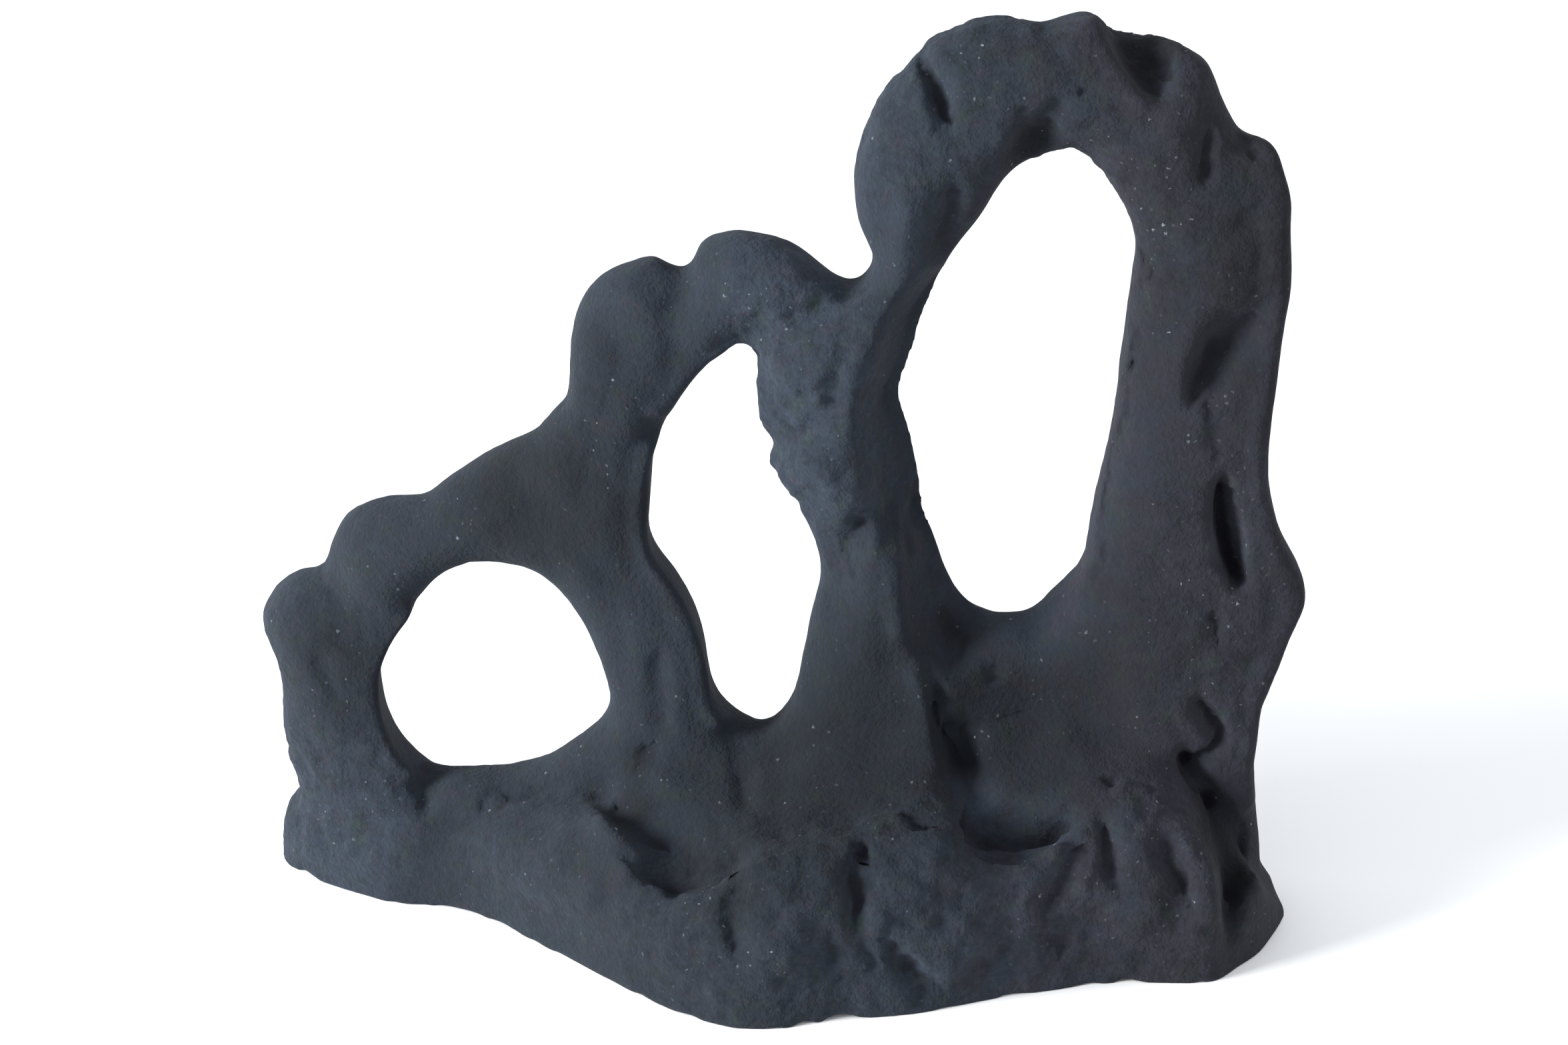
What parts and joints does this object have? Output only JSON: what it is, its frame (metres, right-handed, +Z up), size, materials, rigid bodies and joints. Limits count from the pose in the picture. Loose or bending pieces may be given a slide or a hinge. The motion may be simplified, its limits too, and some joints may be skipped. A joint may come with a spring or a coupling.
{
  "type": "holey rock",
  "caption": "Upright dark rock wall with round windows through it and a ledged foot, for an aquarium, a terrarium or a shelf.",
  "frame": {"origin": "middle of the bounding box, on the flat underside the rock rests on", "axes": "+Z up, +X along the wall towards its tall end, -Y towards the front with the ledge"},
  "size_m": [0.2634, 0.111, 0.2286],
  "materials": {
    "stone": "matte"
  },
  "bodies": {
    "root": {"rock": "stone"}
  },
  "joints": []
}
